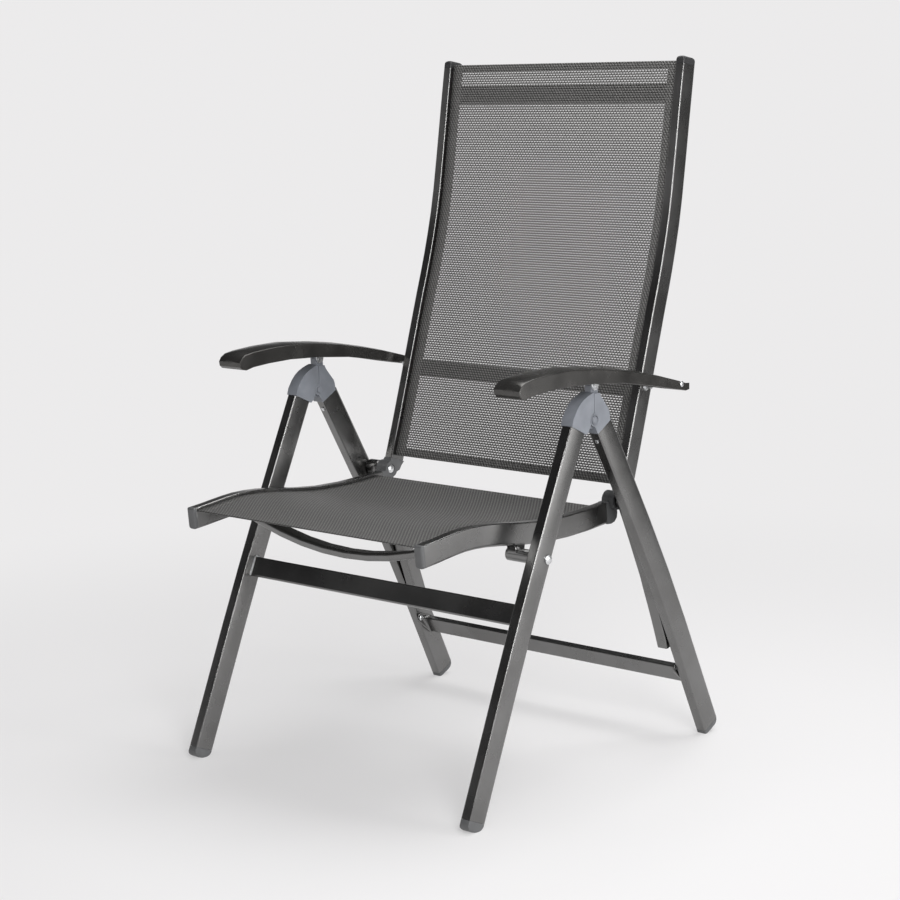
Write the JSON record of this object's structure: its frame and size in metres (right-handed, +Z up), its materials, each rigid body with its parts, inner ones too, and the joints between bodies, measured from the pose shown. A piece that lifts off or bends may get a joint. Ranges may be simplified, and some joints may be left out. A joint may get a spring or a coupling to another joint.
{
  "type": "folding sling patio chair",
  "caption": "High-back folding patio chair: crossed metal legs, stretched mesh sling seat and reclining back, curved armrests.",
  "frame": {"origin": "centre of the bounding box at floor level", "axes": "+X to the sitter's left, +Y to the rear, +Z up"},
  "size_m": [0.6426, 0.6857, 1.1105],
  "materials": {
    "frame_metal": "satin anthracite powder coat on flat aluminium tube",
    "cap_plastic": "satin dark grey",
    "hub_plastic": "satin blue grey",
    "arm_plastic": "satin dark grey, fine grain",
    "mesh_fabric": "coated open weave in dark grey",
    "bright_steel": "plain zinc"
  },
  "bodies": {
    "front_frame": {"front_leg_left": "frame_metal", "front_leg_right": "frame_metal", "front_foot_cap_left": "cap_plastic", "front_foot_cap_right": "cap_plastic", "front_hub_left": "hub_plastic", "front_hub_right": "hub_plastic", "hub_pin_left": "hub_plastic", "hub_pin_right": "hub_plastic", "seat_pivot_bolt_left": "bright_steel", "seat_pivot_bolt_right": "bright_steel", "armrest_pin_left": "bright_steel", "armrest_pin_right": "bright_steel", "front_crossbar": "frame_metal"},
    "rear_frame": {"rear_leg_left": "frame_metal", "rear_leg_right": "frame_metal", "rear_foot_cap_left": "cap_plastic", "rear_foot_cap_right": "cap_plastic", "rear_hub_left": "hub_plastic", "rear_hub_right": "hub_plastic", "hub_screw_left": "bright_steel", "hub_screw_right": "bright_steel", "link_pin_left": "bright_steel", "link_pin_right": "bright_steel", "crossbar_bolt_left": "bright_steel", "crossbar_bolt_right": "bright_steel", "rear_crossbar": "frame_metal"},
    "seat_frame": {"seat_rail_left": "frame_metal", "seat_rail_right": "frame_metal", "seat_front_cap_left": "cap_plastic", "seat_front_cap_right": "cap_plastic", "seat_rear_knuckle_left": "cap_plastic", "seat_rear_knuckle_right": "cap_plastic", "seat_pivot_sleeve_left": "frame_metal", "seat_pivot_sleeve_right": "frame_metal", "back_pivot_bolt_left": "bright_steel", "back_pivot_bolt_right": "bright_steel", "seat_front_spreader": "frame_metal", "seat_rear_spreader": "frame_metal", "seat_sling": "mesh_fabric"},
    "back_frame": {"back_rail_left": "frame_metal", "back_rail_right": "frame_metal", "back_top_cap_left": "cap_plastic", "back_top_cap_right": "cap_plastic", "back_fitting_left": "cap_plastic", "back_fitting_right": "cap_plastic", "armrest_stud_left": "bright_steel", "armrest_stud_right": "bright_steel", "back_upper_crossbar": "frame_metal", "back_lumbar_crossbar": "frame_metal", "back_sling": "mesh_fabric"},
    "armrest_left": {"armrest_left": "arm_plastic", "armrest_rack_left": "bright_steel", "armrest_rivet_left": "bright_steel"},
    "armrest_right": {"armrest_right": "arm_plastic", "armrest_rack_right": "bright_steel", "armrest_rivet_right": "bright_steel"},
    "link_left": {"link_left": "frame_metal"},
    "link_right": {"link_right": "frame_metal"}
  },
  "joints": [
    {"name": "leg_fold", "type": "hinge", "parent": "front_frame", "child": "rear_frame", "pos_m": [0, -0.0036, 0.5686], "axis": [-1, 0, 0], "range_deg": [0, 51.5]},
    {"name": "seat_fold", "type": "hinge", "parent": "front_frame", "child": "seat_frame", "pos_m": [0, -0.1226, 0.3744], "axis": [-1, 0, 0], "range_deg": [0, 113.92]},
    {"name": "back_recline", "type": "hinge", "parent": "seat_frame", "child": "back_frame", "pos_m": [0, 0.1157, 0.4178], "axis": [1, 0, 0], "range_deg": [-17, 101]},
    {"name": "armrest_lift_left", "type": "hinge", "parent": "front_frame", "child": "armrest_left", "pos_m": [0, 0.0039, 0.621], "axis": [1, 0, 0], "range_deg": [0, 55]},
    {"name": "armrest_lift_right", "type": "hinge", "parent": "front_frame", "child": "armrest_right", "pos_m": [0, 0.0039, 0.621], "axis": [1, 0, 0], "range_deg": [0, 55]},
    {"name": "link_swing_left", "type": "hinge", "parent": "seat_frame", "child": "link_left", "pos_m": [0, 0.1157, 0.4178], "axis": [1, 0, 0], "range_deg": [-0.5, 240.91]},
    {"name": "link_swing_right", "type": "hinge", "parent": "seat_frame", "child": "link_right", "pos_m": [0, 0.1157, 0.4178], "axis": [1, 0, 0], "range_deg": [-0.5, 240.91]}
  ],
  "couplings": [
    {"joint": "seat_fold", "follows": "leg_fold", "ratio": 2.2023},
    {"joint": "link_swing_left", "follows": "leg_fold", "ratio": 4.6681},
    {"joint": "link_swing_right", "follows": "leg_fold", "ratio": 4.6681}
  ]
}
